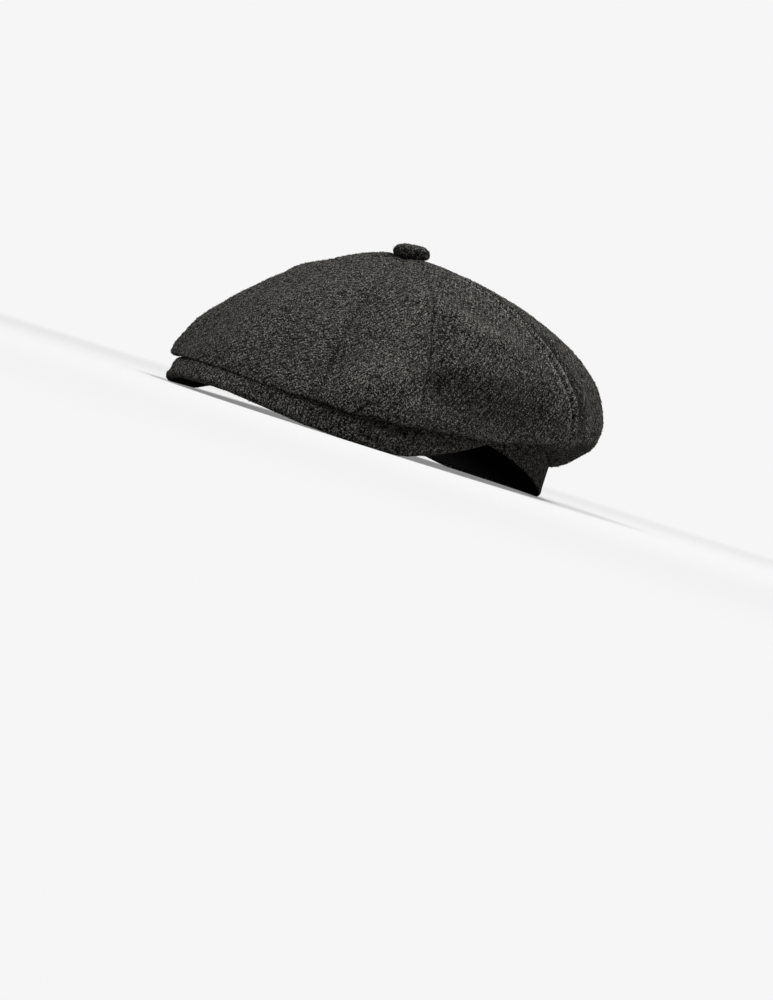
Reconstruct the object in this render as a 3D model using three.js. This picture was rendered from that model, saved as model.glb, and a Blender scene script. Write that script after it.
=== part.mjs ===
// A soft eight-panel cap with a short drooping peak, a band, a sweatband and a covered top button.
// Millimetres, +Z up, the peak towards -Y, the wearer's left at +X.
// The cap rests on the flat rear arc of its band and on the two low sides of its peak, at z = 0.
import * as THREE from "three";

// Head opening
const headWidth = 158;
const headLength = 199;
const rimFrontRise = 19;
const rimSideArch = 13.5;
const rimFlatShare = 0.07;
const rimEase = 1.2;

// Band around the opening, and the sweatband inside it
const bandHeight = 19;
const bandWall = 2.6;
const sweatbandHeight = 30;
const sweatbandWall = 1.2;
const sweatbandSetUp = 1.5;

// Crown of cloth panels
const panelCount = 8;
const crownTop = 113;
const crownReach = 140;
const buttonForward = 34;
const clothWall = 2;
const seamDepth = 1.3;
const seamWidth = 5;
const panelPuff = 1.4;
const crownHole = 4;

// Peak
const peakWall = 4;
const peakReach = 46;
const peakTurn = 94;
const peakTaper = 2.2;
const peakEndReach = 3.5;
const peakSeat = 6;
const peakTipRise = 6.4;
const peakLowShare = 0.5;
const peakBow = 7;
const peakBowEase = 1.4;

// Covered button
const buttonDiameter = 22;
const buttonHeight = 6.5;
const buttonRound = 2.3;
const buttonNeck = 6.4;
const buttonNeckDepth = 3;
const buttonTilt = 6;

// Clearances
const seamGap = 0.5;
const layGap = 0.5;
const bandClear = 0.9;

// Mesh steps
const acrossSteps = 12;
const topSteps = 12;
const underSteps = 7;
const ringSteps = 64;
const peakSteps = 36;
const peakRows = 7;
const buttonSteps = 6;

// Sections of the crown by turn from the front, in degrees, the same on both sides.
// reach is a share of crownReach, widestAt of crownTop, foldDrop of crownTop,
// tuckIn of crownReach, tuckDip of crownTop. fullness is the exponent of the dome's curve.
const crownSections = [
  { turn: 0, reach: 0.825, widestAt: 0.155, foldDrop: 0.025, tuckIn: 0.15, tuckDip: -0.006, fullness: 1.35 },
  { turn: 45, reach: 0.838, widestAt: 0.164, foldDrop: 0.06, tuckIn: 0.1, tuckDip: 0.04, fullness: 1.42 },
  { turn: 90, reach: 0.81, widestAt: 0.262, foldDrop: 0.19, tuckIn: 0.1, tuckDip: 0.06, fullness: 1.93 },
  { turn: 135, reach: 0.975, widestAt: 0.37, foldDrop: 0.06, tuckIn: 0.12, tuckDip: -0.05, fullness: 2.03 },
  { turn: 180, reach: 1.1, widestAt: 0.38, foldDrop: 0.08, tuckIn: 0.12, tuckDip: -0.05, fullness: 2.1 },
];

// Seams on one side by number from the front: turn at the button and turn from the fold down, in degrees.
const crownSeams = [
  { top: 30, fold: 35 },
  { top: 66, fold: 64 },
  { top: 110, fold: 120 },
  { top: 155, fold: 160 },
];

const degrees = Math.PI / 180;
const lerp = THREE.MathUtils.lerp;
const clamp = THREE.MathUtils.clamp;

// Smooth reading of one column of the crown's table at any turn.
function crownValue(column, turn) {
  const folded = Math.abs(THREE.MathUtils.euclideanModulo(turn + 180, 360) - 180);
  const step = crownSections[1].turn;
  const last = crownSections.length - 1;
  const low = Math.min(Math.floor(folded / step), last - 1);
  const share = folded / step - low;
  const at = (i) => crownSections[i < 0 ? -i : i > last ? 2 * last - i : i][column];
  const [a, b, c, d] = [at(low - 1), at(low), at(low + 1), at(low + 2)];
  return b + 0.5 * share * (c - a + share * (2 * a - 5 * b + 4 * c - d + share * (3 * (b - c) + d - a)));
}

// Height of the rim's lower edge: flat at the rear, arched over the ears, raised at the front.
function rimHeight(y) {
  const forward = clamp((1 - (2 * y) / headLength) / 2, 0, 1);
  const share = Math.max(0, (forward - rimFlatShare) / (1 - rimFlatShare)) ** rimEase;
  return rimFrontRise * share + rimSideArch * 4 * share * (1 - share);
}

// Distance from the button's axis to an oval round the head opening, grown by extra.
function ovalReach(turn, extra) {
  const a = headWidth / 2 + extra;
  const b = headLength / 2 + extra;
  const sx = Math.sin(turn * degrees);
  const sy = -Math.cos(turn * degrees);
  const qa = (sx / a) ** 2 + (sy / b) ** 2;
  const qb = (-buttonForward * sy) / b ** 2;
  const qc = (buttonForward / b) ** 2 - 1;
  return (-qb + Math.sqrt(qb * qb - qa * qc)) / qa;
}

// Outer face of the crown: turn from the front in degrees, along 0 at the top to 1 at the fold, 2 at the band.
function crownPoint(turn, along) {
  const reach = crownReach * crownValue("reach", turn);
  const widest = crownTop * crownValue("widestAt", turn);
  const fullness = crownValue("fullness", turn);
  const bandReach = ovalReach(turn, bandWall);
  const bandY = -buttonForward - bandReach * Math.cos(turn * degrees);
  const bandTop = rimHeight(bandY) + bandHeight + bandClear;
  let r;
  let z;
  if (along <= 1) {
    const start = Math.asin((crownHole / reach) ** (fullness / 2));
    const swing = lerp(start, Math.PI / 2, along);
    r = reach * Math.sin(swing) ** (2 / fullness);
    z = widest + (crownTop - widest) * Math.max(Math.cos(swing), 0) ** (2 / fullness);
  } else {
    const u = along - 1;
    const foldZ = widest - crownTop * crownValue("foldDrop", turn);
    const tuckR = bandReach + crownReach * crownValue("tuckIn", turn);
    const tuckZ = bandTop - crownTop * crownValue("tuckDip", turn);
    const v = 1 - u;
    r = v ** 3 * reach + 3 * v * v * u * reach + 3 * v * u * u * tuckR + u ** 3 * bandReach;
    z = v ** 3 * widest + 3 * v * v * u * foldZ + 3 * v * u * u * tuckZ + u ** 3 * bandTop;
  }
  return { r, z };
}

// Turn of a seam at a place along it. Seams are numbered round the crown from the front, towards +X.
function seamTurn(number, along) {
  const half = panelCount / 2;
  const row = crownSeams[number < half ? number : panelCount - 1 - number];
  const turn = lerp(row.top, row.fold, THREE.MathUtils.smoothstep(along, 0, 1));
  return number < half ? turn : 360 - turn;
}

// Pulls the cloth in at a seam and lets it puff out between seams. share runs from 0 to 1 across a panel.
function crownSwell(share, width, along, r) {
  const arc = Math.min(share, 1 - share) * width * degrees * r;
  const live = Math.sin((clamp(along, 0, 2) * Math.PI) / 2) ** 0.7;
  const between = Math.sin(share * Math.PI) ** 2;
  return live * (panelPuff * between - seamDepth * Math.exp(-((arc / seamWidth) ** 2)));
}

// Outer and inner face of the cloth at one place of the crown. Both lie in one upright plane through the button.
function crownSkin(turn, along, share, width) {
  const here = crownPoint(turn, along);
  const from = clamp(along - 0.01, 0, 1.98);
  const before = crownPoint(turn, from);
  const after = crownPoint(turn, from + 0.02);
  const length = Math.hypot(after.r - before.r, after.z - before.z);
  const outR = (before.z - after.z) / length;
  const outZ = (after.r - before.r) / length;
  const swell = crownSwell(share, width, along, here.r);
  const flat = turn * degrees;
  const at = (depth) => {
    const r = here.r + outR * (swell - depth);
    const z = here.z + outZ * (swell - depth);
    return new THREE.Vector3(r * Math.sin(flat), -buttonForward - r * Math.cos(flat), z);
  };
  return { outer: at(0), inner: at(clothWall) };
}

// Joins a row of closed loops into one closed solid. Loops run the same way round.
function loopSolid(loops, ring) {
  const n = loops[0].length;
  const positions = [];
  const index = [];
  for (const loop of loops) {
    for (const p of loop) {
      positions.push(p.x, p.y, p.z);
    }
  }
  const rows = ring ? loops.length : loops.length - 1;
  for (let i = 0; i < rows; i += 1) {
    const next = (i + 1) % loops.length;
    for (let j = 0; j < n; j += 1) {
      const k = (j + 1) % n;
      const [a, b, c, d] = [i * n + j, i * n + k, next * n + k, next * n + j];
      index.push(a, b, c, a, c, d);
    }
  }
  if (!ring) {
    const end = (loops.length - 1) * n;
    for (let j = 0; j < n / 2 - 1; j += 1) {
      const [a, b, c, d] = [j, j + 1, n - 2 - j, n - 1 - j];
      index.push(a, d, c, a, c, b);
      index.push(end + a, end + c, end + d, end + a, end + b, end + c);
    }
  }
  const geometry = new THREE.BufferGeometry();
  geometry.setAttribute("position", new THREE.Float32BufferAttribute(positions, 3));
  geometry.setIndex(index);
  geometry.computeVertexNormals();
  return geometry;
}

// One crown panel between two seams.
function panelGeometry(number) {
  const steps = [];
  for (let j = 0; j <= topSteps; j += 1) {
    steps.push(j / topSteps);
  }
  for (let j = 1; j <= underSteps; j += 1) {
    steps.push(1 + j / underSteps);
  }
  const loops = [];
  for (let i = 0; i <= acrossSteps; i += 1) {
    const share = i / acrossSteps;
    const outer = [];
    const inner = [];
    for (const step of steps) {
      const from = number === 0 ? seamTurn(panelCount - 1, step) - 360 : seamTurn(number - 1, step);
      const to = seamTurn(number, step);
      const inset = (turn) => Math.asin(seamGap / 2 / (crownPoint(turn, step).r - clothWall)) / degrees;
      const turn = lerp(from + inset(from), to - inset(to), share);
      const skin = crownSkin(turn, step, share, to - from);
      outer.push(skin.outer);
      inner.push(skin.inner);
    }
    loops.push([...outer, ...inner.reverse()]);
  }
  return loopSolid(loops, false);
}

// A closed ring with an upright four-sided section that follows the rim.
function ringGeometry(inset, wall, bottom, height) {
  const loops = [];
  for (let i = 0; i < ringSteps; i += 1) {
    const turn = (i / ringSteps) * 2 * Math.PI;
    const at = (extra, z) => {
      const x = (headWidth / 2 + extra) * Math.sin(turn);
      const y = -(headLength / 2 + extra) * Math.cos(turn);
      return new THREE.Vector3(x, y, rimHeight(y * (headLength / (headLength + 2 * extra))) + z);
    };
    loops.push([
      at(inset, bottom),
      at(inset, bottom + height),
      at(inset + wall, bottom + height),
      at(inset + wall, bottom),
    ]);
  }
  return loopSolid(loops, true);
}

// Middle face of the peak: side from -1 to 1 along it, out from 0 at the band to 1 at its edge.
function peakPoint(side, out) {
  const turn = side * peakTurn * degrees;
  const innerX = (headWidth / 2 + bandWall + layGap) * Math.sin(turn);
  const innerY = -(headLength / 2 + bandWall + layGap) * Math.cos(turn);
  const innerZ = rimHeight(innerY) + peakWall / 2 + peakSeat;
  const edge = Math.abs(side);
  const reach = peakReach * (1 - edge ** peakTaper) + peakEndReach;
  const outerX = innerX + reach * Math.sin(turn);
  const outerY = innerY - reach * Math.cos(turn);
  const middle = Math.cos((Math.min(edge / peakLowShare, 1) * Math.PI) / 2) ** 2;
  const ends = THREE.MathUtils.smoothstep(edge, peakLowShare, 1);
  const outerZ = peakWall / 2 + peakTipRise * middle + (innerZ - peakWall / 2) * ends;
  const eased = Math.max(out, 0) ** peakBowEase;
  const bow = (peakBow * 4 * eased * (1 - eased) * reach) / (peakReach + peakEndReach);
  return new THREE.Vector3(
    lerp(innerX, outerX, out),
    lerp(innerY, outerY, out),
    lerp(innerZ, outerZ, out) + bow,
  );
}

// Section of the peak at one place along it: top, rounded edge and underside.
function peakLoop(side) {
  const top = [];
  const under = [];
  let edge = [];
  for (let j = 0; j <= peakRows; j += 1) {
    const out = j / peakRows;
    const place = peakPoint(side, out);
    const run = peakPoint(side, out + 0.01).sub(peakPoint(side, out - 0.01)).normalize();
    const level = Math.hypot(run.x, run.y);
    const up = new THREE.Vector3(-run.z * (run.x / level), -run.z * (run.y / level), level);
    if (j === 0) {
      up.set(0, 0, 1);
    }
    top.push(place.clone().addScaledVector(up, peakWall / 2));
    under.push(place.clone().addScaledVector(up, -peakWall / 2));
    const low = new THREE.Vector3(0, 0, -1);
    edge = [up.clone().add(run).normalize(), run, run.clone().add(low).normalize(), low];
    edge = edge.map((way) => place.clone().addScaledVector(way, peakWall / 2));
  }
  return [...top, ...edge, ...under.reverse()];
}

function peakGeometry() {
  const loops = [];
  for (let i = 0; i <= peakSteps; i += 1) {
    loops.push(peakLoop((2 * i) / peakSteps - 1));
  }
  return loopSolid(loops, false);
}

// Button profile from the end of its neck to the middle of its domed top, turned about its axis.
function buttonGeometry() {
  const edge = buttonDiameter / 2 - buttonRound;
  const points = [
    new THREE.Vector2(0, -buttonNeckDepth),
    new THREE.Vector2(buttonNeck / 2, -buttonNeckDepth),
    new THREE.Vector2(buttonNeck / 2, 0),
  ];
  for (let j = 0; j <= buttonSteps; j += 1) {
    const swing = (j / buttonSteps - 0.5) * Math.PI;
    points.push(
      new THREE.Vector2(edge + buttonRound * Math.cos(swing), buttonRound * (1 + Math.sin(swing))),
    );
  }
  for (let j = 1; j <= buttonSteps; j += 1) {
    const share = 1 - j / buttonSteps;
    const rise = (buttonHeight - 2 * buttonRound) * (1 - share * share);
    points.push(new THREE.Vector2(edge * share, 2 * buttonRound + rise));
  }
  return new THREE.LatheGeometry(points, 32).rotateX(Math.PI / 2);
}

function cloth(color) {
  return new THREE.MeshStandardMaterial({ color, roughness: 0.95, metalness: 0, side: THREE.DoubleSide });
}

function addPart(group, name, geometry, material) {
  const mesh = new THREE.Mesh(geometry, material);
  mesh.name = name;
  group.add(mesh);
  return mesh;
}

const group = new THREE.Group();
group.name = "flat_cap";
const tweed = cloth("#3b3935");
for (let number = 0; number < panelCount; number += 1) {
  addPart(group, `crown_panel_${number + 1}`, panelGeometry(number), tweed.clone());
}
addPart(group, "peak", peakGeometry(), tweed.clone());
addPart(group, "band", ringGeometry(0, bandWall, 0, bandHeight), tweed.clone());
addPart(
  group,
  "sweatband",
  ringGeometry(-sweatbandWall - layGap, sweatbandWall, sweatbandSetUp, sweatbandHeight),
  cloth("#141416"),
);
const button = addPart(group, "top_button", buttonGeometry(), tweed.clone());
button.rotation.x = buttonTilt * degrees;
button.position.set(0, -buttonForward, crownTop + 2 * layGap);

// The origin is the middle of the underside of the whole cap.
const whole = new THREE.Box3().setFromObject(group);
group.position.set(0, -(whole.min.y + whole.max.y) / 2, -whole.min.z);

export default group;
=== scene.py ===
import math

import bpy
import numpy as np
from mathutils import Matrix, Vector


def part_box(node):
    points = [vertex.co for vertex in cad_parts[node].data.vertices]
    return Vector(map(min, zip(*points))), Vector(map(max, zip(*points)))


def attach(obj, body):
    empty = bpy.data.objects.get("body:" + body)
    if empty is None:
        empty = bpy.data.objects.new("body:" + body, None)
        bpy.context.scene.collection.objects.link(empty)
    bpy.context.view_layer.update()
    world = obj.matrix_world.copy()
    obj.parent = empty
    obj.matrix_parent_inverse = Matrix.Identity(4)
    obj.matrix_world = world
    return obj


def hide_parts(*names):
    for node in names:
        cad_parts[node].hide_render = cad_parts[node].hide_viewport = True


# A soft wool cap of eight panels with a short peak, at rest on a plain pale floor.
# Shapes are worked out in millimetres round the head opening, then put into metres in the frame's place.
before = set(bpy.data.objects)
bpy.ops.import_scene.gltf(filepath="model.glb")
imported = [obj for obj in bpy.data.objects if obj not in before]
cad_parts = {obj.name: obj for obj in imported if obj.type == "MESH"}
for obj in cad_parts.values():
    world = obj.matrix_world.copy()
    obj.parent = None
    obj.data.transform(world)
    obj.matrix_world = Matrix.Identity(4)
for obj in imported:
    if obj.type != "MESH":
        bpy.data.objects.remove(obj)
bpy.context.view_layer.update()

degree = math.pi / 180
low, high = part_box("band")
middleShift = np.array([0, (low.y + high.y) / 2, low.z])  # the opening's centre and the floor, in the frame

head = {"width": 158, "length": 199, "frontRise": 19, "sideArch": 13.5, "flatShare": 0.07, "ease": 1.2}
band = {"height": 19, "wall": 2.6, "rows": 420, "uneven": 0.35, "grain": 35, "seed": 31}
sweatband = {"height": 30, "wall": 1.2, "setUp": 1.5, "gap": 0.5, "rows": 300, "uneven": 0.1, "seed": 41}
tiny = 1e-12  # keeps a division clear of zero


# Helpers for shapes


# Soft step from 0 at lowEnd to 1 at highEnd: a cubic that starts and stops level.
def softStep(value, lowEnd, highEnd):
    t = np.clip((value - lowEnd) / (highEnd - lowEnd), 0, 1)
    return t * t * (3 - 2 * t)


# Bell curve with height 1 at 0: e to the power of minus the squared share of the width.
def bell(distance, width):
    return np.exp(-((distance / width) ** 2))


# Smooth unevenness of about -1 to 1 in space: a sum of plane waves of random direction and phase.
def waves(points, length, seed, count=9):
    rng = np.random.default_rng(seed)
    total = np.zeros(points.shape[:-1])
    for _ in range(count):
        way = rng.normal(size=3)
        way /= np.linalg.norm(way)
        pace = 2 * math.pi / (length * rng.uniform(0.75, 1.35))
        total += np.sin(points @ way * pace + rng.uniform(0, 6.283))
    return total / math.sqrt(count)


# Length run along one axis of a grid of points, from its first place: the sum of the steps between neighbours.
def runLength(points, axis):
    steps = np.linalg.norm(np.diff(points, axis=axis), axis=-1)
    start = np.zeros_like(np.take(steps, [0], axis=axis))
    return np.concatenate([start, np.cumsum(steps, axis=axis)], axis=axis)


# Flat places of the cloth in metres, turned so that the weave lies at the grain's angle on the piece.
def turnedFlat(uv, grain):
    c, s = math.cos(grain * degree), math.sin(grain * degree)
    return np.stack([uv[..., 0] * c - uv[..., 1] * s, uv[..., 0] * s + uv[..., 1] * c], axis=-1) / 1000


# Mesh of closed sections carried along a path. points and uv are rows x places, each row a section whose last
# place repeats the first. A ring's last row repeats its first row. Otherwise both ends are closed with a strip
# that joins the section's first half to its second half. fuzz adds loose fibres, and relief is painted shade: it
# makes the colour darker in hollows and lighter on ridges. Millimetres in, metres out.
def sectionMesh(name, points, uv, grain, ring=False, fuzz=None, relief=None):
    rows, places = points.shape[0] - int(ring), points.shape[1] - 1
    i, j = np.meshgrid(np.arange(points.shape[0] - 1), np.arange(places), indexing="ij")
    cornerI = np.stack([i, i, i + 1, i + 1], axis=-1).reshape(-1, 4)
    cornerJ = np.stack([j, j + 1, j + 1, j], axis=-1).reshape(-1, 4)
    if not ring:
        k = np.arange(places // 2 - 1)
        first = np.stack([k, places - 1 - k, places - 2 - k, k + 1], axis=-1)
        cornerJ = np.concatenate([cornerJ, first, first[:, ::-1]])
        cornerI = np.concatenate([cornerI, np.zeros_like(first), np.full_like(first, rows - 1)])
    faces = (cornerI % rows) * places + cornerJ % places
    place = points[:rows, :places].reshape(-1, 3)
    a, b, c, d = (place[faces[:, n]] for n in range(4))
    volume = np.sum(np.cross(c - a, d - b) * (a + b + c + d))
    if volume < 0:
        faces, cornerI, cornerJ = faces[:, ::-1], cornerI[:, ::-1], cornerJ[:, ::-1]
    flat = turnedFlat(uv[cornerI, cornerJ], grain)
    piece = quadMesh(name, place, faces, flat, fuzz)
    if relief is not None:
        setPaintedShade(piece, relief[:rows, :places])
    return piece


# Gives a piece's first vertices their relief, a painted shade: above 0 makes ridges lighter and below it makes
# hollows darker. Its fibres keep 0.
def setPaintedShade(piece, relief):
    row = np.zeros(len(piece.data.vertices), np.float32)
    row[: relief.size] = relief.ravel()
    piece.data.attributes["relief"].data.foreach_set("value", row)


# Mesh of four-sided faces with the flat cloth place of each corner, and loose fibres on its second material.
def quadMesh(name, place, faces, flat, fuzz=None):
    kind = np.zeros(len(faces), np.int32)
    if fuzz:
        kind = np.concatenate([kind, np.ones(len(fuzz[1]), np.int32)])
        faces = np.concatenate([faces, fuzz[1] + len(place)])
        place = np.concatenate([place, fuzz[0]])
        flat = np.concatenate([flat, fuzz[2]])
    mesh = bpy.data.meshes.new(name)
    mesh.vertices.add(len(place))
    mesh.vertices.foreach_set("co", ((place + middleShift * 1000) / 1000).astype(np.float32).ravel())
    mesh.loops.add(faces.size)
    mesh.loops.foreach_set("vertex_index", faces.astype(np.int32).ravel())
    mesh.polygons.add(len(faces))
    mesh.polygons.foreach_set("loop_start", np.arange(0, faces.size, 4, dtype=np.int32))
    mesh.update(calc_edges=True)
    mesh.polygons.foreach_set("use_smooth", np.ones(len(faces), bool))
    mesh.polygons.foreach_set("material_index", kind)
    layer = mesh.uv_layers.new(name="cloth")
    layer.data.foreach_set("uv", flat.astype(np.float32).ravel())
    mesh.attributes.new("relief", "FLOAT", "POINT")
    piece = bpy.data.objects.new(name, mesh)
    bpy.context.scene.collection.objects.link(piece)
    return piece


# Sizes of the loose fibres in millimetres, and how many for each square millimetre.
fuzzSizes = {
    "density": 0.18, "shortest": 1.1, "longest": 3.2, "lowest": 0.12, "highest": 0.55, "bend": 0.7, "half": 0.075,
    "sunk": 0.03, "tipShare": 0.6,
}


# Loose fibres of the felted surface: each one a thin closed bar of square section that rises from a random place of
# the grid, bends sideways and comes down again. Its corners all hold one random number, which picks its shade.
def fuzzOn(grid, centre, seed):
    rng = np.random.default_rng(seed)
    a, b, c = grid[:-1, :-1], grid[1:, :-1], grid[:-1, 1:]
    area = np.linalg.norm(np.cross(b - a, c - a), axis=-1)
    count = int(area.sum() * fuzzSizes["density"])
    i, j = np.unravel_index(rng.choice(area.size, count, p=(area / area.sum()).ravel()), area.shape)
    first, second = b[i, j] - a[i, j], c[i, j] - a[i, j]
    root = a[i, j] + first * rng.random((count, 1)) + second * rng.random((count, 1))
    normal = np.cross(first, second)
    normal /= np.linalg.norm(normal, axis=-1, keepdims=True) + tiny
    normal *= np.sign(np.sum(normal * (root - centre), axis=-1, keepdims=True))
    first /= np.linalg.norm(first, axis=-1, keepdims=True) + tiny
    swing = rng.uniform(0, 2 * math.pi, (count, 1))
    way = first * np.cos(swing) + np.cross(normal, first) * np.sin(swing)
    side = np.cross(normal, way)
    length = rng.uniform(fuzzSizes["shortest"], fuzzSizes["longest"], (count, 1, 1))
    height = rng.uniform(fuzzSizes["lowest"], fuzzSizes["highest"], (count, 1, 1))
    bend = rng.uniform(-1, 1, (count, 1, 1)) * fuzzSizes["bend"]
    t = np.array([0, 0.5, 1])[:, None]
    hump = 4 * t * (1 - t)
    line = (
        root[:, None] + way[:, None] * length * (t - 0.5) + side[:, None] * bend * hump
        + normal[:, None] * (height * hump + fuzzSizes["sunk"] * (2 * t - 1))
    )
    half = fuzzSizes["half"] * np.array([1, 1, fuzzSizes["tipShare"]])[:, None, None]
    corner = np.array([[-1, -1], [1, -1], [1, 1], [-1, 1]])[:, :, None]
    around = corner[:, 0] * side[:, None, None] + corner[:, 1] * normal[:, None, None]
    place = (line[:, :, None] + half * around).reshape(-1, 3)
    k = np.arange(4)
    wall = np.stack([k, (k + 1) % 4, (k + 1) % 4 + 4, k + 4], axis=-1)
    faces = np.concatenate([wall, wall + 4, [[3, 2, 1, 0]], [[8, 9, 10, 11]]])
    corners = place.reshape(-1, 12, 3)[:, faces]
    firstWay, secondWay = corners[:, :, 2] - corners[:, :, 0], corners[:, :, 3] - corners[:, :, 1]
    volume = np.sum(np.cross(firstWay, secondWay) * corners.sum(2))
    if volume < 0:
        faces = faces[:, ::-1]
    faces = (faces[None] + 12 * np.arange(count)[:, None, None]).reshape(-1, 4)
    shade = np.repeat(rng.random((count, 1, 1, 2)), len(wall) * 2 + 2, axis=1)
    return place, faces, np.repeat(shade, 4, axis=2).reshape(-1, 4, 2)


# Puts a piece on its body in place of its solids, with its materials. slotName is not used.
def place(piece, slotName, materials, *nodes):
    for material in materials:
        piece.data.materials.append(material)
    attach(piece, "root")
    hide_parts(*nodes)


# Materials


# A socket that takes Python's operators: each one adds a Math node, also where the socket is on the right, as in
# 1 - mask.
class Wire:
    def __init__(self, tree, socket):
        self.tree = tree
        self.socket = socket

    def math(self, operation, *others):
        values = {n: value for n, value in enumerate((self, *others))}
        return addNode(self.tree, "ShaderNodeMath", {"operation": operation}, values)

    def __add__(self, other):
        return self.math("ADD", other)

    def __mul__(self, other):
        return self.math("MULTIPLY", other)

    def __sub__(self, other):
        return self.math("SUBTRACT", other)

    def __rsub__(self, other):
        return addNode(self.tree, "ShaderNodeMath", {"operation": "SUBTRACT"}, {0: other, 1: self})

    __radd__ = __add__
    __rmul__ = __mul__


# Adds one node: its type, its settings (a ramp's stops among them), its sockets' values or links, and which output.
def addNode(tree, kind, settings=None, sockets=None, output=0):
    made = tree.nodes.new(kind)
    for key, value in (settings or {}).items():
        if key == "stops":
            while len(made.color_ramp.elements) < len(value):
                made.color_ramp.elements.new(0.5)
            for element, (position, color) in zip(made.color_ramp.elements, value):
                element.position = position
                element.color = (*color, 1)
        else:
            setattr(made, key, value)
    for key, value in (sockets or {}).items():
        if isinstance(value, Wire):
            tree.links.new(value.socket, made.inputs[key])
        else:
            made.inputs[key].default_value = value
    return Wire(tree, made.outputs[output])


# Mixes two colours by a factor.
def mixColor(tree, factor, first, second):
    return addNode(tree, "ShaderNodeMix", {"data_type": "RGBA"}, {0: factor, 6: (*first, 1), 7: (*second, 1)}, 2)


# Empty material with its Principled shader.
def newMaterial(name):
    material = bpy.data.materials.new(name)
    material.use_nodes = True
    tree = material.node_tree
    return material, tree, tree.nodes["Principled BSDF"]


# Wool cloth: a felted tangle of curled fibres with dark pits between them, over faint diagonal ribs, and the same in
# the bump. A fibre layer is the line along which a smooth noise passes its middle value, so it curls as a hair does.
def woolMaterial(name, settings):
    material, tree, shader = newMaterial(name)
    uv = addNode(tree, "ShaderNodeUVMap", {"uv_map": "cloth"})

    def noise(scale, detail, vector, output=0):
        sockets = {"Vector": vector, "Scale": scale, "Detail": detail}
        return addNode(tree, "ShaderNodeTexNoise", None, sockets, output)

    def fibres(turn, scale, stretch, thin, shift):
        laid = addNode(tree, "ShaderNodeMapping", None, {
            "Vector": uv, "Location": (shift, shift, 0), "Rotation": (0, 0, turn * degree),
            "Scale": (1, 1 / stretch, 1),
        })
        line = (noise(scale, 1, laid) - 0.5).math("ABSOLUTE") * -thin + 1
        broken = (noise(scale * settings["breakScale"], 1, laid) - settings["breakAt"]) * settings["breakSharp"]
        return line.math("MAXIMUM", 0) * broken.math("MAXIMUM", 0).math("MINIMUM", 1)

    sway = (noise(settings["swayScale"], 2, uv) - 0.5) * settings["ribSway"]
    across = addNode(tree, "ShaderNodeSeparateXYZ", None, {"Vector": uv}, 0) + sway
    rib = (across * (2 * math.pi / settings["rib"])).math("SINE") * 0.5 + 0.5
    patch = noise(settings["patchScale"], 2, uv) - 0.5
    grit = noise(settings["gritScale"], 1, uv) - 0.5
    layers = [fibres(*row) for row in settings["fibres"]]
    # Painted shade: the relief attribute makes the colour lighter on ridges and darker in hollows and round the button.
    paintedShade = addNode(tree, "ShaderNodeAttribute", {"attribute_name": "relief"}, None, 2)
    tangle = layers[0].math("MAXIMUM", layers[1]).math("MAXIMUM", layers[2])
    tone = noise(settings["toneScale"], 1, uv) - 0.5
    body = (
        tangle * settings["tangle"] * (tone * settings["tone"] + 1) + grit * settings["grit"]
        + (rib - 0.5) * settings["ribShade"] + patch * settings["patch"] + settings["level"]
        + paintedShade * settings["paintedShade"]
    )
    color = addNode(tree, "ShaderNodeValToRGB", {"stops": settings["stops"]}, {0: body})
    tree.links.new(color.socket, shader.inputs["Base Color"])
    height = rib * settings["ribHeight"] + body
    bump = addNode(tree, "ShaderNodeBump", None, {
        "Height": height, "Strength": settings["bump"], "Distance": settings["bumpDepth"],
    })
    tree.links.new(bump.socket, shader.inputs["Normal"])
    shader.inputs["Roughness"].default_value = settings["roughness"]
    shader.inputs["Specular IOR Level"].default_value = settings["shine"]
    shader.inputs["Sheen Weight"].default_value = settings["sheen"]
    shader.inputs["Sheen Roughness"].default_value = settings["sheenRough"]
    shader.inputs["Sheen Tint"].default_value = (*settings["sheenTint"], 1)
    return material


# The fibre layers' columns: turn in degrees, scale, stretch along the fibre, thinness, and shift of the pattern.
# One of these keys sets how strongly the relief's painted shade lightens ridges and darkens hollows.
wool = {
    "rib": 0.0024, "ribSway": 0.0014, "swayScale": 150, "ribShade": 0.1, "ribHeight": 0.2,
    "patchScale": 60, "patch": 0.08, "gritScale": 1250, "grit": 1.4, "toneScale": 420, "tone": 0.8,
    "tangle": 0.62, "level": -0.053, "paintedShade": 0.13, "breakScale": 0.6, "breakAt": 0.3, "breakSharp": 5,
    "bump": 1, "bumpDepth": 0.0006, "roughness": 0.95, "shine": 0.12,
    "sheen": 0.04, "sheenRough": 0.5, "sheenTint": (0.75, 0.72, 0.68),
    "stops": [
        (0.12, (0.001, 0.001, 0.001)), (0.26, (0.004, 0.0039, 0.0036)), (0.4, (0.021, 0.0202, 0.0186)),
        (0.55, (0.088, 0.085, 0.078)), (0.72, (0.32, 0.31, 0.288)),
    ],
    "fibres": [(10, 700, 1.6, 4.6, 0.1), (62, 800, 1.8, 5, 0.2), (-42, 620, 1.5, 5.2, 0.3)],
}
woolCloth = woolMaterial("wool_cloth", wool)

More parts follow.
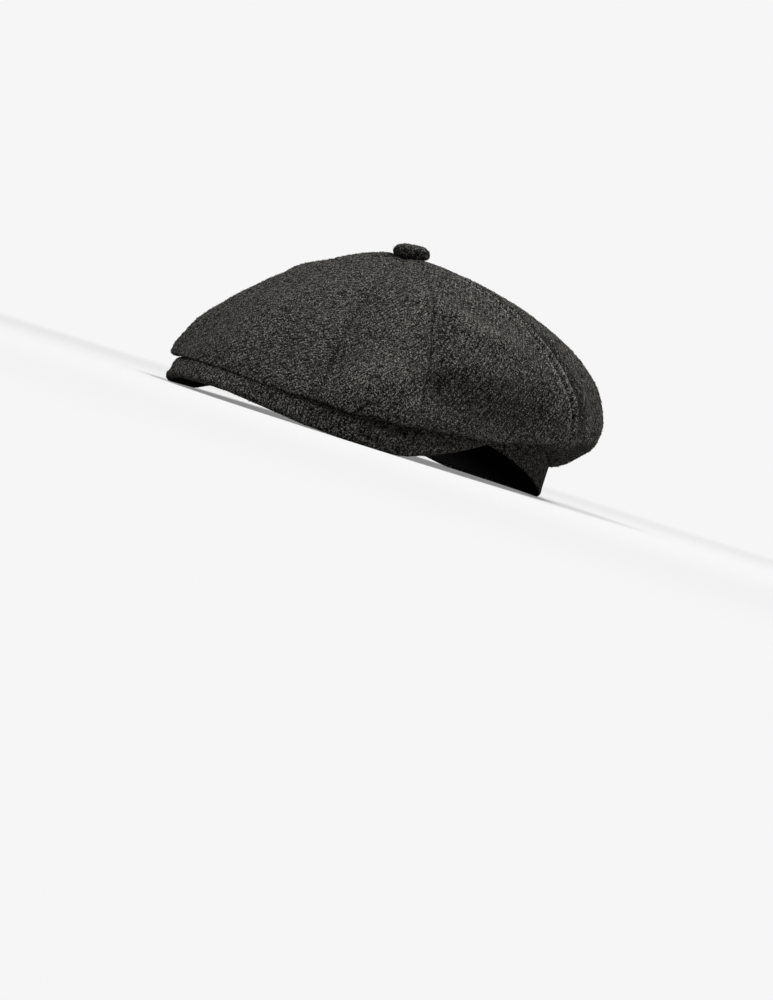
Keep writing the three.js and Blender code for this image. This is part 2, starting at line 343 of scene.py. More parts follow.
# Loose fibres: mostly pale, some dark, by the number that each one holds.
looseFibre = {
    "stops": [
        (0.2, (0.006, 0.006, 0.0055)), (0.45, (0.05, 0.048, 0.044)),
        (0.75, (0.13, 0.125, 0.115)), (1, (0.3, 0.29, 0.27)),
    ],
    "roughness": 0.8, "shine": 0.2,
}
woolFibre, tree, shader = newMaterial("wool_fibre")
uv = addNode(tree, "ShaderNodeUVMap", {"uv_map": "cloth"})
number = addNode(tree, "ShaderNodeSeparateXYZ", None, {"Vector": uv}, 0)
color = addNode(tree, "ShaderNodeValToRGB", {"stops": looseFibre["stops"]}, {0: number})
tree.links.new(color.socket, shader.inputs["Base Color"])
shader.inputs["Roughness"].default_value = looseFibre["roughness"]
shader.inputs["Specular IOR Level"].default_value = looseFibre["shine"]
tweed = (woolCloth, woolFibre)


# Crown

# Some crown keys paint shade: laps and fold ridges lighter, grooves and hollows darker, a shadow round the button.
crown = {
    "top": 113, "reach": 140, "forward": 34, "wall": 2, "hole": 4, "clear": 0.25, "gap": 0.05,
    "puff": 1.3, "grooveWidth": 1.5, "dip": 0.8, "dipWidth": 8, "lapAt": 1.8, "lapWidth": 1.3,
    "secondAt": 8.6, "secondWidth": 2.8, "creaseAt": 4.8, "creaseWidth": 1.9, "crease": 0.7,
    "sinkAt": 8, "sinkWidth": 6, "gather": 0.55, "gathers": 34,
    "across": 76, "topRows": 104, "underRows": 46, "closer": 0.06, "span": 0.004,
    "paintedLapShade": 0.42, "paintedFoldShade": 0.09, "buttonShade": 1.5, "buttonWidth": 12, "buttonAlong": 0.5, "buttonPower": 8,
    "middle": (0, 0, 55), "seed": 60,
    "waves": [
        {"height": 0.55, "length": 62, "seed": 11}, {"height": 0.3, "length": 24, "seed": 12},
        {"height": 0.1, "length": 9, "seed": 13},
    ],
    "gatherSway": {"turns": 5, "sway": 1.7, "height": 0.8, "length": 40, "seed": 14},
    # How the relief fades along a panel: from the button, at the fold and below it, in units of along.
    "fade": {
        "ease": 0.7, "seamAt": 1.03, "seamWidth": 0.13, "seamShare": 0.75, "underEnd": 1.25, "underShare": 0.8,
        "puffAt": 1.05, "puffWidth": 0.25, "puffShare": 0.7, "gather": (1.35, 1.95), "gatherEnd": (0, 0.1),
    },
    "grain": [-48, -42, -36, -44, -50, -40, -38, -52],  # turn of the weave on each panel in degrees
}

# Sections of the crown by turn from the front, the same on both sides, as shares of reach and top.
crownSections = [
    {"turn": 0, "reach": 0.825, "widestAt": 0.155, "foldDrop": 0.035, "tuckIn": 0.15, "tuckDip": 0, "fullness": 1.35},
    {"turn": 45, "reach": 0.838, "widestAt": 0.162, "foldDrop": 0.08, "tuckIn": 0.1, "tuckDip": 0.04, "fullness": 1.42},
    {"turn": 90, "reach": 0.81, "widestAt": 0.262, "foldDrop": 0.19, "tuckIn": 0.1, "tuckDip": 0.06, "fullness": 1.93},
    {"turn": 135, "reach": 0.975, "widestAt": 0.37, "foldDrop": 0.06, "tuckIn": 0.12, "tuckDip": -0.05,
     "fullness": 2.03},
    {"turn": 180, "reach": 1.1, "widestAt": 0.38, "foldDrop": 0.08, "tuckIn": 0.12, "tuckDip": -0.05, "fullness": 2.1},
]

# Seams on one side from the front: turn at the button and from the fold down, depth of the groove, height of the ridge
# in front of and behind it, of a second ridge in front of it, and how far the cloth behind it sinks.
crownSeams = [
    {"top": 30, "fold": 35, "groove": 1.3, "frontLap": 0.2, "backLap": 0.4, "second": 0, "sink": 0},
    {"top": 66, "fold": 64, "groove": 1.5, "frontLap": 0.6, "backLap": 0.3, "second": 0, "sink": 0.5},
    {"top": 110, "fold": 120, "groove": 0.3, "frontLap": 3.6, "backLap": 1.6, "second": 2.2, "sink": 3.4},
    {"top": 155, "fold": 160, "groove": 1.2, "frontLap": 0.6, "backLap": 0.4, "second": 0, "sink": 0.4},
]


# One column of the sections at any turn: a Catmull-Rom curve, mirrored at the front and the back.
def crownValue(column, turn):
    folded = np.abs((turn + 180) % 360 - 180)
    last = len(crownSections) - 1
    step = 180 / last
    before = np.minimum((folded / step).astype(int), last - 1)
    share = folded / step - before
    values = np.array([section[column] for section in crownSections])
    values = np.concatenate([values[1:2], values, values[-2:-1]])
    a, b, c, d = (values[before + n] for n in range(4))
    return b + 0.5 * share * (c - a + share * (2 * a - 5 * b + 4 * c - d + share * (3 * (b - c) + d - a)))


# Height of the rim's lower edge: flat at the back, arched over the ears, raised at the front.
def rimHeight(y):
    forward = np.clip((1 - 2 * y / head["length"]) / 2, 0, 1)
    share = np.maximum(0, (forward - head["flatShare"]) / (1 - head["flatShare"])) ** head["ease"]
    return head["frontRise"] * share + head["sideArch"] * 4 * share * (1 - share)


# Distance from the button's axis to an oval round the head opening, grown by extra.
def ovalReach(turn, extra):
    a, b = head["width"] / 2 + extra, head["length"] / 2 + extra
    sx, sy = np.sin(turn * degree), -np.cos(turn * degree)
    qa = (sx / a) ** 2 + (sy / b) ** 2
    qb = -crown["forward"] * sy / b**2
    qc = (crown["forward"] / b) ** 2 - 1
    return (-qb + np.sqrt(qb * qb - qa * qc)) / qa


# Distance from the button's axis and height of the crown's cloth. along is 0 at the button, 1 at the fold and
# 2 at the band: a quarter of a superellipse down to the fold, then a cubic curve tucked in to the band.
def crownProfile(turn, along):
    reach = crown["reach"] * crownValue("reach", turn)
    widest = crown["top"] * crownValue("widestAt", turn)
    power = 2 / crownValue("fullness", turn)
    bandReach = ovalReach(turn, band["wall"])
    bandTop = rimHeight(-crown["forward"] - bandReach * np.cos(turn * degree)) + band["height"] + crown["clear"]
    start = np.arcsin((crown["hole"] / reach) ** (1 / power))
    swing = start + (math.pi / 2 - start) * np.clip(along, 0, 1)
    domeR = reach * np.sin(swing) ** power
    domeZ = widest + (crown["top"] - widest) * np.maximum(np.cos(swing), 0) ** power
    u = np.clip(along - 1, 0, 1)
    v = 1 - u
    foldZ = widest - crown["top"] * crownValue("foldDrop", turn)
    tuckR = bandReach + crown["reach"] * crownValue("tuckIn", turn)
    tuckZ = bandTop - crown["top"] * crownValue("tuckDip", turn)
    underR = v**3 * reach + 3 * v * v * u * reach + 3 * v * u * u * tuckR + u**3 * bandReach
    underZ = v**3 * widest + 3 * v * v * u * foldZ + 3 * v * u * u * tuckZ + u**3 * bandTop
    return np.where(along <= 1, domeR, underR), np.where(along <= 1, domeZ, underZ)


# Settings of a seam by its number round from the front towards +X: the last four mirror the first.
def crownSeam(number):
    return crownSeams[number if number < 4 else 7 - number]


# Turn of a seam along it: from its turn at the button it eases to its turn at the fold.
def seamTurn(number, along):
    seam = crownSeam(number)
    turn = seam["top"] + (seam["fold"] - seam["top"]) * softStep(along, 0, 1)
    return turn if number < 4 else 360 - turn


# Place on the crown's surface in millimetres.
def crownPlace(turn, r, z):
    return np.stack([r * np.sin(turn * degree), -crown["forward"] - r * np.cos(turn * degree), z], -1)


# Soft folds of the crown: a path of (turn, along), height and width in millimetres, the share of the path over which
# each end fades, and how much of it the other side repeats. A negative height is a valley.
crownFolds = [
    {"path": [(38, 0.25), (36, 0.45), (39, 0.62), (35, 0.74), (35, 0.88)],
     "height": -2.7, "width": 8, "fade": 0.3, "twin": 0.4},
    {"path": [(56, 0.3), (62, 0.38), (73, 0.46), (83, 0.56), (96, 0.6), (110, 0.6)],
     "height": 5, "width": 8.5, "fade": 0.3, "twin": 0.8},
    {"path": [(70, 0.7), (76, 0.86), (92, 0.92), (116, 0.92)],
     "height": -7, "width": 18, "fade": 0.18, "twin": 0.9},
    {"path": [(36, 0.84), (48, 0.8), (61, 0.74)],
     "height": 4, "width": 12, "fade": 0.3, "twin": 0.5},
    {"path": [(66.5, 0.45), (67.5, 0.68), (67.5, 0.92)],
     "height": -2.4, "width": 5.5, "fade": 0.3, "twin": 0.7},
    {"path": [(8, 0.45), (18, 0.7), (14, 0.9)],
     "height": -1.3, "width": 13, "fade": 0.35, "twin": 0.8},
    {"path": [(124, 1.35), (140, 1.62), (149, 1.85)],
     "height": -2.4, "width": 5, "fade": 0.3, "twin": 1},
    {"path": [(126, 0.5), (134, 0.85), (136, 1.15)],
     "height": -2.2, "width": 8, "fade": 0.35, "twin": 0.8},
    {"path": [(145, 0.55), (150, 0.8), (146, 1.05)],
     "height": 1.6, "width": 9, "fade": 0.35, "twin": 1},
    {"path": [(168, 0.5), (172, 0.8), (166, 1.05)],
     "height": -2, "width": 12, "fade": 0.35, "twin": 0.5},
]
foldSteps = 18  # straight stretches of each path


# Height of all folds at each point: a bell across the nearest place of the path, faded towards the path's ends.
def foldHeight(points):
    total = np.zeros(points.shape[:-1])
    for fold in crownFolds:
        for mirror, amount in ((1, 1), (-1, fold["twin"])):
            marks = np.linspace(0, 1, len(fold["path"]))
            steps = np.linspace(0, 1, foldSteps + 1)
            turns, alongs = (np.interp(steps, marks, [mark[k] for mark in fold["path"]]) for k in (0, 1))
            path = crownPlace(mirror * turns, *crownProfile(mirror * turns, alongs))
            best = np.full(total.shape, np.inf)
            share = np.zeros(total.shape)
            for k in range(len(path) - 1):
                way = path[k + 1] - path[k]
                t = np.clip((points - path[k]) @ way / (way @ way), 0, 1)
                distance = np.linalg.norm(points - path[k] - t[..., None] * way, axis=-1)
                nearer = distance < best
                best = np.where(nearer, distance, best)
                share = np.where(nearer, (k + t) / (len(path) - 1), share)
            window = softStep(share, 0, fold["fade"]) * softStep(1 - share, 0, fold["fade"])
            total += amount * fold["height"] * bell(best, fold["width"]) * window
    return total


# Cloth of one panel between two seams: the profile pushed out along its own upright plane by the puff between the
# seams, the groove and raised lap at them, the folds, the gathers towards the band and a little unevenness.
def crownPanel(number):
    along = np.concatenate([
        np.linspace(0, 1, crown["topRows"] + 1), np.linspace(1, 2, crown["underRows"] + 1)[1:],
    ])
    share = np.linspace(0, 1, crown["across"] + 1)
    share = share - crown["closer"] * np.sin(share * 2 * math.pi)  # closer rows beside the seams
    share, along = np.meshgrid(share, along, indexing="ij")
    first = seamTurn(7, along) - 360 if number == 0 else seamTurn(number - 1, along)
    last = seamTurn(number, along)
    r = crownProfile((first + last) / 2, along)[0]
    inset = crown["gap"] / 2 / np.maximum(r, 1) / degree
    turn = first + inset + (last - first - 2 * inset) * share
    r, z = crownProfile(turn, along)
    before = np.clip(along - crown["span"], 0, 2 - 2 * crown["span"])
    r0, z0 = crownProfile(turn, before)
    r1, z1 = crownProfile(turn, before + 2 * crown["span"])
    length = np.hypot(r1 - r0, z1 - z0)
    outR, outZ = (z0 - z1) / length, (r1 - r0) / length
    base = crownPlace(turn, r, z)
    fade = crown["fade"]
    live = np.sin(np.clip(along, 0, 2) * math.pi / 2) ** fade["ease"]
    atFold = fade["seamShare"] * bell(along - fade["seamAt"], fade["seamWidth"])
    sewn = live * (1 - atFold) * (1 - fade["underShare"] * softStep(along, 1, fade["underEnd"]))
    relief = np.zeros(r.shape)
    calm = fade["puffShare"] * bell(along - fade["puffAt"], fade["puffWidth"])
    push = live * (1 - calm) * crown["puff"] * np.sin(share * math.pi) ** 2
    for seamNumber, side, isLast in ((number - 1, share, False), (number, 1 - share, True)):
        seamNumber %= 8
        seam = crownSeam(seamNumber)
        inFront = isLast == (seamNumber < 4)
        arc = side * (last - first) * degree * r
        lap = bell(arc - crown["lapAt"], crown["lapWidth"])
        if inFront:
            crease = crown["crease"] * bell(arc - crown["creaseAt"], crown["creaseWidth"])
            second = bell(arc - crown["secondAt"], crown["secondWidth"]) - crease
            beside = seam["frontLap"] * lap + seam["second"] * second
        else:
            beside = seam["backLap"] * lap - seam["sink"] * bell(arc - crown["sinkAt"], crown["sinkWidth"])
        raised = sewn * (beside - seam["groove"] * bell(arc, crown["grooveWidth"]))
        push += raised - sewn * crown["dip"] * bell(arc, crown["dipWidth"])
        # Painted shade: raised laps lighter in the colour, grooves darker.
        relief += raised * crown["paintedLapShade"]
    folds = live * foldHeight(base)
    push += folds
    # Painted shadow on the crown round the button, and fold ridges painted lighter and fold hollows darker.
    buttonShadowMask = bell(r, crown["buttonWidth"]) * softStep(1 - along, 0, crown["buttonAlong"]) ** crown["buttonPower"]
    relief += folds * crown["paintedFoldShade"] - crown["buttonShade"] * buttonShadowMask
    for wave in crown["waves"]:
        push += live * wave["height"] * waves(base, wave["length"], wave["seed"])
    gathered = softStep(along, *fade["gather"]) * softStep(2 - along, *fade["gatherEnd"])
    sway = crown["gatherSway"]
    wander = sway["sway"] * np.sin(turn * degree * sway["turns"]) + sway["height"] * waves(
        base, sway["length"], sway["seed"])
    push += crown["gather"] * gathered * np.sin(turn * degree * crown["gathers"] + wander)
    outer = crownPlace(turn, r + outR * push, z + outZ * push)
    inner = crownPlace(turn, r + outR * (push - crown["wall"]), z + outZ * (push - crown["wall"]))
    u = runLength(outer, 0)
    u = u - u[crown["across"] // 2]
    points = np.concatenate([outer, inner[:, ::-1], outer[:, :1]], axis=1)
    uv = np.stack([u, runLength(base, 1)], axis=-1)
    uv = np.concatenate([uv, uv[:, ::-1], uv[:, :1]], axis=1)
    relief = np.concatenate([relief, np.zeros_like(relief), relief[:, :1]], axis=1)
    return points, uv, fuzzOn(outer, np.array(crown["middle"]), crown["seed"] + number), relief


for number in range(8):
    points, uv, fuzz, relief = crownPanel(number)
    name = f"crown_panel_{number + 1}"
    piece = sectionMesh(f"cloth_{name}", points, uv, crown["grain"][number], fuzz=fuzz, relief=relief)
    place(piece, "tweed", tweed, name)
print("crown panels made")


# Peak

peak = {
    "wall": 4, "edgeWall": 5.6, "reach": 46, "turn": 94, "taper": 2.2, "endReach": 3.5, "seat": 6, "tipRise": 6.4,
    "lowShare": 0.5, "bow": 7, "bowEase": 1.4, "gap": 0.5, "grooveAt": 7.5, "groove": 0.7, "grooveWidth": 1.1,
    "pad": 0.8, "sidePad": 2.6, "along": 260, "rows": 44, "edgeSteps": 14, "edgeWidth": 8, "step": 0.01,
    "grain": -32, "middle": (0, -60, 0), "seed": 71,
    "waves": [{"height": 0.35, "length": 34, "seed": 21}, {"height": 0.15, "length": 11, "seed": 22}],
    # Where the relief fades in: by the reach in millimetres, by degrees from the front, and by the share of out.
    "fade": {
        "edge": (6, 20), "groove": (12, 20), "pad": (5, 28), "padEnd": (-75, -45), "padOut": (0.6, 0.9),
        "padLip": (0, 0.1), "uneven": (0, 0.3),
    },
}


# Middle face of the peak and its reach: side -1 to 1 along it, out 0 at the band to 1 at its edge. The reach falls to
# the ends as a power of side, and a bow lifts the face between band and edge.
def peakMiddle(side, out):
    turn = side * peak["turn"] * degree
    innerX = (head["width"] / 2 + band["wall"] + peak["gap"]) * np.sin(turn)
    innerY = -(head["length"] / 2 + band["wall"] + peak["gap"]) * np.cos(turn)
    innerZ = rimHeight(innerY) + peak["wall"] / 2 + peak["seat"]
    edge = np.abs(side)
    reach = peak["reach"] * (1 - edge ** peak["taper"]) + peak["endReach"]
    tip = np.cos(np.minimum(edge / peak["lowShare"], 1) * math.pi / 2) ** 2
    ends = softStep(edge, peak["lowShare"], 1)
    outerZ = peak["wall"] / 2 + peak["tipRise"] * tip + (innerZ - peak["wall"] / 2) * ends
    eased = np.maximum(out, 0) ** peak["bowEase"]
    bow = peak["bow"] * 4 * eased * (1 - eased) * reach / (peak["reach"] + peak["endReach"])
    x = innerX + out * reach * np.sin(turn)
    y = innerY - out * reach * np.cos(turn)
    return np.stack([x, y, innerZ + (outerZ - innerZ) * out + bow], axis=-1), reach


# Section of the peak carried from end to end: top face, half-round edge, underside with the edge's sewn groove. Both
# faces lie half a wall from the middle one, the top one more by its pad, and all is flat where it lies on the floor.
def peakShape():
    side = np.linspace(-1, 1, peak["along"] + 1)
    out = np.linspace(0, 1, peak["rows"] + 1)
    sideGrid, outGrid = np.meshgrid(side, out, indexing="ij")
    middle, reach = peakMiddle(sideGrid, outGrid)
    step = peak["step"]
    run = peakMiddle(sideGrid, outGrid + step)[0] - peakMiddle(sideGrid, outGrid - step)[0]
    run /= np.linalg.norm(run, axis=-1, keepdims=True)
    level = np.hypot(run[..., 0], run[..., 1])
    up = np.stack([-run[..., 2] * run[..., 0] / level, -run[..., 2] * run[..., 1] / level, level], axis=-1)
    fromEdge = (1 - outGrid) * reach
    fade = peak["fade"]
    thicker = bell(fromEdge, peak["edgeWidth"]) * softStep(reach, *fade["edge"])
    half = peak["wall"] / 2 + (peak["edgeWall"] - peak["wall"]) / 2 * thicker
    uneven = sum(wave["height"] * waves(middle, wave["length"], wave["seed"]) for wave in peak["waves"])
    middle = middle + up * (uneven * softStep(outGrid, *fade["uneven"]))[..., None]
    sewn = softStep(reach, *fade["groove"])
    groove = peak["groove"] * bell(fromEdge - peak["grooveAt"], peak["grooveWidth"]) * sewn
    fromFront = np.abs(sideGrid) * peak["turn"]
    atSide = softStep(fromFront, *fade["pad"]) * softStep(-fromFront, *fade["padEnd"])
    atEdge = softStep(outGrid, *fade["padOut"]) * softStep(1 - outGrid, *fade["padLip"])
    pad = (peak["pad"] + peak["sidePad"] * atSide) * atEdge
    top = middle + up * (half + pad)[..., None]
    under = middle - up * (half - groove)[..., None]
    swing = (np.arange(1, peak["edgeSteps"]) / peak["edgeSteps"]) * math.pi
    tipPoint, tipUp, tipRun, tipHalf = middle[:, -1:], up[:, -1:], run[:, -1:], half[:, -1:, None]
    edge = tipPoint + tipHalf * (tipUp * np.cos(swing)[:, None] + tipRun * np.sin(swing)[:, None])
    points = np.concatenate([top, edge, under[:, ::-1], top[:, :1]], axis=1)
    points[..., 2] = np.maximum(points[..., 2], 0)
    turn = side * peak["turn"] * degree
    way = np.stack([np.sin(turn), -np.cos(turn)], axis=-1)[:, None]
    v = runLength(middle, 1)[..., None]
    edgeRun = v[:, -1:] + tipHalf * swing[:, None]
    folded = np.where(fromEdge[..., None] < peak["grooveAt"], 2 * v[:, -1:] + tipHalf * math.pi - v, v)
    start = middle[:, :1, :2]
    uv = np.concatenate([
        start + way * v, start + way * edgeRun, (start + way * folded)[:, ::-1], (start + way * v)[:, :1],
    ], axis=1)
    return points, uv


points, uv = peakShape()
fuzz = fuzzOn(points[:, : peak["rows"] + peak["edgeSteps"]], np.array(peak["middle"]), peak["seed"])
place(sectionMesh("cloth_peak", points, uv, peak["grain"], fuzz=fuzz), "tweed", tweed, "peak")
print("peak made")


# Band and sweatband

rings = {"edgeSteps": 9, "faceSteps": 20, "waveLength": 30, "calm": (1, 5)}


# Upright ring with half-round edges that follows the rim: its section is carried round the oval of the head opening,
# from which inset is measured, and lifted by the rim's height there.
def ringShape(inset, wall, bottom, height, rows, uneven, seed):
    turn = np.linspace(0, 2 * math.pi, rows + 1)
    turn[-1] = turn[0]
    swing = np.linspace(0, math.pi, rings["edgeSteps"])
    rise = np.linspace(0, 1, rings["faceSteps"] + 2)[1:-1]
    half = wall / 2
    outR = np.concatenate([half * np.cos(swing), -half + rise * 0, -half * np.cos(swing), half + rise * 0])
    outZ = np.concatenate([
        half - half * np.sin(swing), half + rise * (height - wall),
        height - half + half * np.sin(swing), height - half - rise * (height - wall),
    ])
    outR, outZ = (np.append(values, values[0]) for values in (outR, outZ))
    turnGrid, r = np.meshgrid(turn, outR + inset + half, indexing="ij")
    z = np.broadcast_to(outZ, r.shape) + bottom
    x = (head["width"] / 2 + r) * np.sin(turnGrid)
    y = -(head["length"] / 2 + r) * np.cos(turnGrid)
    lift = rimHeight(y * head["length"] / (head["length"] + 2 * r))
    points = np.stack([x, y, z + lift], axis=-1)
    push = uneven * waves(points, rings["waveLength"], seed) * softStep(z - bottom, *rings["calm"])
    points[..., 0] += push * np.sin(turnGrid)
    points[..., 1] -= push * np.cos(turnGrid)
    length = np.linspace(0, 2 * math.pi, rows + 1)[:, None] * (head["width"] + head["length"]) / 4
    section = runLength(np.stack([outR, outZ], -1)[None], 1)
    uv = np.stack(np.broadcast_arrays(length, section), axis=-1)
    return points, uv


points, uv = ringShape(0, band["wall"], 0, band["height"], band["rows"], band["uneven"], band["seed"])
place(sectionMesh("cloth_band", points, uv, band["grain"], ring=True), "tweed", (woolCloth,), "band")


# Woven tape: upright ribs and finer level picks as sines of the cloth's two directions, with a little noise.
def tapeMaterial(name, settings):
    material, tree, shader = newMaterial(name)
    uv = addNode(tree, "ShaderNodeUVMap", {"uv_map": "cloth"})
    around = addNode(tree, "ShaderNodeSeparateXYZ", None, {"Vector": uv}, 0)
    up = addNode(tree, "ShaderNodeSeparateXYZ", None, {"Vector": uv}, 1)
    rib = (around * (2 * math.pi / settings["rib"])).math("SINE") * 0.5 + 0.5
    pick = (up * (2 * math.pi / settings["pick"])).math("SINE") * 0.5 + 0.5
    noise = addNode(tree, "ShaderNodeTexNoise", None, {"Vector": uv, "Scale": settings["noiseScale"], "Detail": 2})
    weave = rib * settings["ribShare"] + pick * settings["pickShare"] + (noise - 0.5) * settings["noiseShare"]
    color = mixColor(tree, weave.math("MAXIMUM", 0).math("MINIMUM", 1), settings["dark"], settings["pale"])
    tree.links.new(color.socket, shader.inputs["Base Color"])
    bump = addNode(tree, "ShaderNodeBump", None, {
        "Height": weave, "Strength": settings["bump"], "Distance": settings["bumpDepth"],
    })
    tree.links.new(bump.socket, shader.inputs["Normal"])
    shader.inputs["Roughness"].default_value = settings["roughness"]
    shader.inputs["Specular IOR Level"].default_value = settings["shine"]
    return material


tape = {
    "rib": 0.0011, "pick": 0.0007, "noiseScale": 900, "ribShare": 0.6, "pickShare": 0.25, "noiseShare": 0.6,
    "dark": (0.018, 0.018, 0.018), "pale": (0.075, 0.075, 0.078), "bump": 0.6, "bumpDepth": 0.0002,
    "roughness": 0.7, "shine": 0.3,
}
points, uv = ringShape(
    -sweatband["wall"] - sweatband["gap"], sweatband["wall"], sweatband["setUp"], sweatband["height"],
    sweatband["rows"], sweatband["uneven"], sweatband["seed"],
)
piece = sectionMesh("tape_sweatband", points, uv, 0, ring=True)
place(piece, "sweatband_tape", (tapeMaterial("sweatband_tape", tape),), "sweatband")
print("band and sweatband made")


# Button

button = {
    "diameter": 22, "rise": 5.1, "sag": 3.5, "middle": 1.1, "fullness": 0.55, "rimTurn": -51, "domeTurn": 88,
    "poleTurns": [89.3, 89.8, 89.97], "neck": 6.4, "neckDepth": 3, "under": 0.7, "underDrop": 1, "underReach": 9,
    "tilt": 10, "gap": 1.2, "around": 140, "rimSteps": 44, "underSteps": 11, "axisHole": 0.3, "bareRings": (8, 3),
    "pucker": 0.16, "puckers": 15, "puckerSway": 3, "puckerOut": (6, 9), "puckerTop": 2.2, "puckerFade": 2,
    "lump": 0.14, "lumpLength": 10, "lumpSeed": 51, "lumpOut": (1, 6), "lumpUp": (0, 3),
    "shade": -0.1, "edgeShade": -1.1, "edgeAt": (8.4, 10.8), "seed": 81,
}


# Profile turned about the button's axis: neck, underside that follows the crown, rounded rim and dome.
def buttonShape():
    radius = button["diameter"] / 2
    swing = np.linspace(button["rimTurn"], button["domeTurn"], button["rimSteps"])
    swing = np.append(swing, button["poleTurns"]) * degree
    rimR = radius * np.cos(swing) ** button["fullness"]
    rimZ = button["middle"] + np.where(swing < 0, button["sag"], button["rise"]) * np.sin(swing)
    underR = np.linspace(button["neck"] / 2, rimR[0], button["underSteps"] + 1)[:-1]
    underZ = -button["under"] - button["underDrop"] * (underR / button["underReach"]) ** 2
    r = np.concatenate([[button["axisHole"], button["neck"] / 2], underR, rimR])
    z = np.concatenate([[-button["neckDepth"]] * 2, underZ, rimZ])
    run = np.concatenate([[0], np.cumsum(np.hypot(np.diff(r[::-1]), np.diff(z[::-1])))])[::-1]
    turn = np.linspace(0, 2 * math.pi, button["around"] + 1)
    turnGrid, rGrid = np.meshgrid(turn, r, indexing="ij")
    zGrid = np.broadcast_to(z, rGrid.shape)
    pucker = button["pucker"] * np.sin(turnGrid * button["puckers"] + np.sin(turnGrid * button["puckerSway"]))
    below = softStep(button["puckerTop"] - zGrid, 0, button["puckerFade"])
    rGrid = rGrid + pucker * softStep(rGrid, *button["puckerOut"]) * below
    points = np.stack([rGrid * np.sin(turnGrid), -rGrid * np.cos(turnGrid), zGrid], axis=-1)
    lump = button["lump"] * waves(points, button["lumpLength"], button["lumpSeed"])
    points[..., 2] += lump * softStep(rGrid, *button["lumpOut"]) * softStep(zGrid, *button["lumpUp"])
    uv = run[:, None] * np.stack([np.sin(turnGrid), np.cos(turnGrid)], -1)
    c, s = math.cos(button["tilt"] * degree), math.sin(button["tilt"] * degree)
    y, z = points[..., 1] * c - points[..., 2] * s, points[..., 1] * s + points[..., 2] * c
    points = np.stack([points[..., 0], y - crown["forward"], z + crown["top"] + button["gap"]], axis=-1)
    return points, uv


# Closed surface turned about an axis: points are rows round the axis x places along the profile. Strips across the
# first and the last ring close its two ends.
def turnedMesh(name, points, uv, fuzz):
    rows, places = points.shape[0] - 1, points.shape[1]
    i, j = np.meshgrid(np.arange(rows), np.arange(places - 1), indexing="ij")
    cornerI = np.stack([i, i, i + 1, i + 1], -1).reshape(-1, 4)
    cornerJ = np.stack([j, j + 1, j + 1, j], -1).reshape(-1, 4)
    k = np.arange(rows // 2 - 1)
    strip = np.stack([k, k + 1, rows - 2 - k, rows - 1 - k], axis=-1)
    cornerI = np.concatenate([cornerI, strip, strip[:, ::-1]])
    cornerJ = np.concatenate([cornerJ, np.zeros_like(strip), np.full_like(strip, places - 1)])
    faces = (cornerI % rows) * places + cornerJ
    return quadMesh(name, points[:rows].reshape(-1, 3), faces, uv[cornerI, cornerJ] / 1000, fuzz)


points, uv = buttonShape()
bareBelow, bareAbove = button["bareRings"]
fuzz = fuzzOn(points[:, bareBelow:-bareAbove], np.array([0, -crown["forward"], crown["top"]]), button["seed"])
piece = turnedMesh("cloth_button", points, uv, fuzz)
# Painted shade on the button: its colour darkens towards its rim. Its whole colour is also a little darker.
fromAxis = np.hypot(points[:-1, :, 0], points[:-1, :, 1] + crown["forward"])
edge = softStep(fromAxis, *button["edgeAt"])
setPaintedShade(piece, button["shade"] + button["edgeShade"] * edge)
place(piece, "tweed", tweed, "top_button")
print("button made")


# Stage, light and camera

# The camera sees the floor as white as the backdrop. Other rays see it darker, so that its bounce doesn't wash out
# the cloth's own shading.
stage = {
    "radius": 30, "corners": 96, "white": 0.92, "fadeFrom": 0.25, "fadeTo": 1.1, "floor": 0.66, "glow": 0.24,
    "bounce": 0.3, "ambient": 0.13,
}

turn = np.linspace(0, 2 * math.pi, stage["corners"] + 1)[:-1]
ringPoints = np.stack([np.sin(turn), np.cos(turn), turn * 0], axis=-1) * stage["radius"]
floorMesh = bpy.data.meshes.new("floor")
floorMesh.from_pydata(ringPoints.tolist(), [], [list(range(stage["corners"]))[::-1]])
floor = bpy.data.objects.new("floor", floorMesh)
bpy.context.scene.collection.objects.link(floor)
floorMaterial, tree, shader = newMaterial("floor")
shader.inputs["Base Color"].default_value = (stage["floor"],) * 3 + (1,)
shader.inputs["Roughness"].default_value = 1
shader.inputs["Emission Color"].default_value = (1, 1, 1, 1)
shader.inputs["Emission Strength"].default_value = stage["glow"]
shader.inputs["Specular IOR Level"].default_value = 0
spot = addNode(tree, "ShaderNodeTexCoord", None, None, 3)
far = addNode(tree, "ShaderNodeVectorMath", {"operation": "LENGTH"}, {0: spot}, 1)
fade = addNode(
    tree, "ShaderNodeMapRange", {"interpolation_type": "SMOOTHSTEP"},
    {"Value": far, "From Min": stage["fadeFrom"], "From Max": stage["fadeTo"]},
)
glow = addNode(tree, "ShaderNodeEmission", None, {"Color": (1, 1, 1, 1), "Strength": stage["white"]})
mixed = addNode(tree, "ShaderNodeMixShader", None, {0: fade, 1: Wire(tree, shader.outputs[0]), 2: glow})
dim = addNode(tree, "ShaderNodeBsdfDiffuse", None, {"Color": (stage["bounce"],) * 3 + (1,)})
seen = addNode(tree, "ShaderNodeLightPath", None, None, 0)
shown = addNode(tree, "ShaderNodeMixShader", None, {0: seen, 1: dim, 2: mixed})
tree.links.new(shown.socket, tree.nodes["Material Output"].inputs["Surface"])
floor.data.materials.append(floorMaterial)

world = bpy.data.worlds.new("studio")
world.use_nodes = True
bpy.context.scene.world = world
worldTree = world.node_tree
seen = addNode(worldTree, "ShaderNodeLightPath", None, None, 0)
strength = seen * (stage["white"] - stage["ambient"]) + stage["ambient"]
background = worldTree.nodes["Background"]
background.inputs["Color"].default_value = (1, 1, 1, 1)
worldTree.links.new(strength.socket, background.inputs["Strength"])

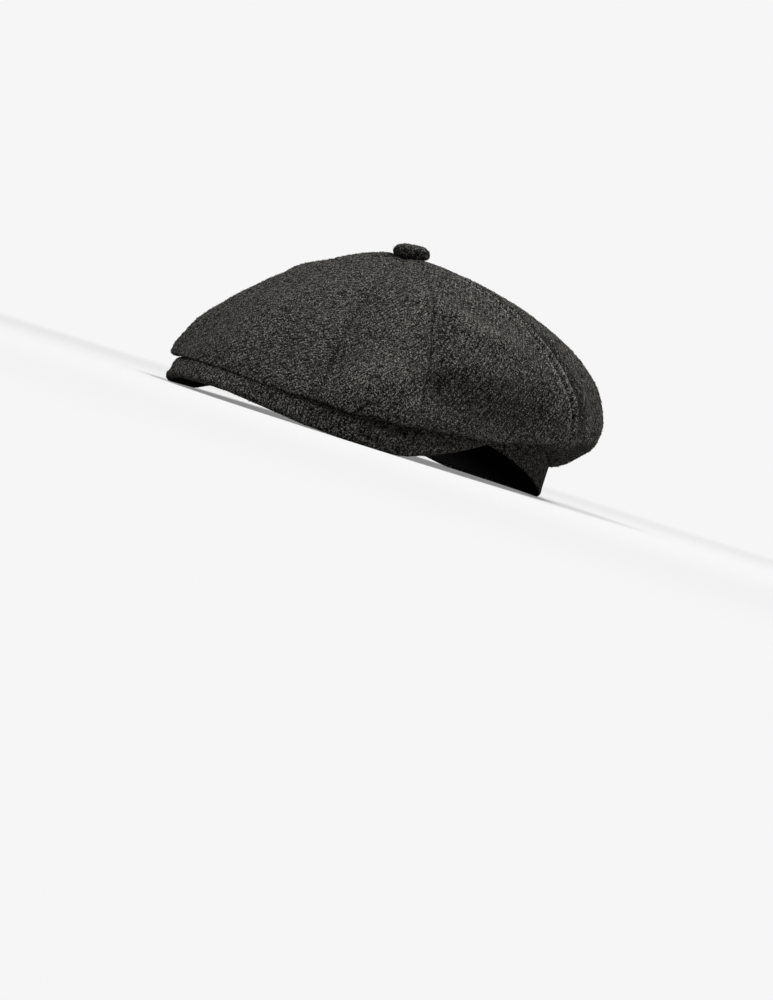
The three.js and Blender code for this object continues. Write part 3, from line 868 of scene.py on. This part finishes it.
# Soft rectangular lights that look at the cap, with angles in degrees, sizes in metres and power in watts.
lightDistance = 1.6
lightAim = (0, 0, 0.06)
lights = [
    {"name": "key", "azimuth": -30, "elevation": 58, "size": (0.5, 0.5), "power": 8},
    {"name": "front", "azimuth": 22, "elevation": 38, "size": (0.5, 0.5), "power": 4},
    {"name": "top", "azimuth": 135, "elevation": 66, "size": (0.5, 0.5), "power": 17},
    {"name": "low", "azimuth": 70, "elevation": -1, "size": (0.5, 0.2), "power": 3},
]


# Unit vector from the cap towards a viewer at an azimuth from the front and an elevation, both in degrees.
def towards(azimuth, elevation):
    a, e = azimuth * degree, elevation * degree
    return np.array([math.sin(a) * math.cos(e), -math.cos(a) * math.cos(e), math.sin(e)])


for settings in lights:
    data = bpy.data.lights.new(settings["name"], "AREA")
    data.shape = "RECTANGLE"
    data.size, data.size_y = settings["size"]
    data.energy = settings["power"]
    light = bpy.data.objects.new(settings["name"], data)
    back = Vector(towards(settings["azimuth"], settings["elevation"]))
    light.location = Vector(lightAim) + back * lightDistance
    light.rotation_mode = "QUATERNION"
    light.rotation_quaternion = (-back).to_track_quat("-Z", "Y")
    bpy.context.scene.collection.objects.link(light)

# The camera puts the cap's point, in millimetres, on the photo's pixel, at the scale in pixels a millimetre.
view = {
    "azimuth": 47, "elevation": -0.5, "roll": 17.7, "distance": 1.8, "scale": 1.6667, "pixel": (413, 388),
    "point": (0, 0, 40), "frameSize": (773, 1000), "sensor": 36,
}
a, roll = view["azimuth"] * degree, view["roll"] * degree
back = towards(view["azimuth"], view["elevation"])
right = np.array([math.cos(a), math.sin(a), 0])
up = np.cross(back, right)
right, up = math.cos(roll) * right + math.sin(roll) * up, math.cos(roll) * up - math.sin(roll) * right
point = np.array(view["point"]) / 1000 + middleShift
offX = (view["pixel"][0] - view["frameSize"][0] / 2) / view["scale"] / 1000
offY = (view["frameSize"][1] / 2 - view["pixel"][1]) / view["scale"] / 1000
cameraPlace = point + back * view["distance"]
aim = point - right * offX - up * offY
away = cameraPlace - aim
away /= np.linalg.norm(away)
side = np.cross(up, away)
side /= np.linalg.norm(side)
data = bpy.data.cameras.new("camera")
data.sensor_width = view["sensor"]
data.lens = view["sensor"] * view["scale"] * 1000 * view["distance"] / max(view["frameSize"])
data.clip_start, data.clip_end = 0.05, 100
camera = bpy.data.objects.new("camera", data)
camera.matrix_world = Matrix([
    [side[k], np.cross(away, side)[k], away[k], cameraPlace[k]] for k in range(3)
] + [[0, 0, 0, 1]])
bpy.context.scene.collection.objects.link(camera)
bpy.context.scene.camera = camera
bpy.context.scene.view_settings.view_transform = "Standard"
print("stage, light and camera made")
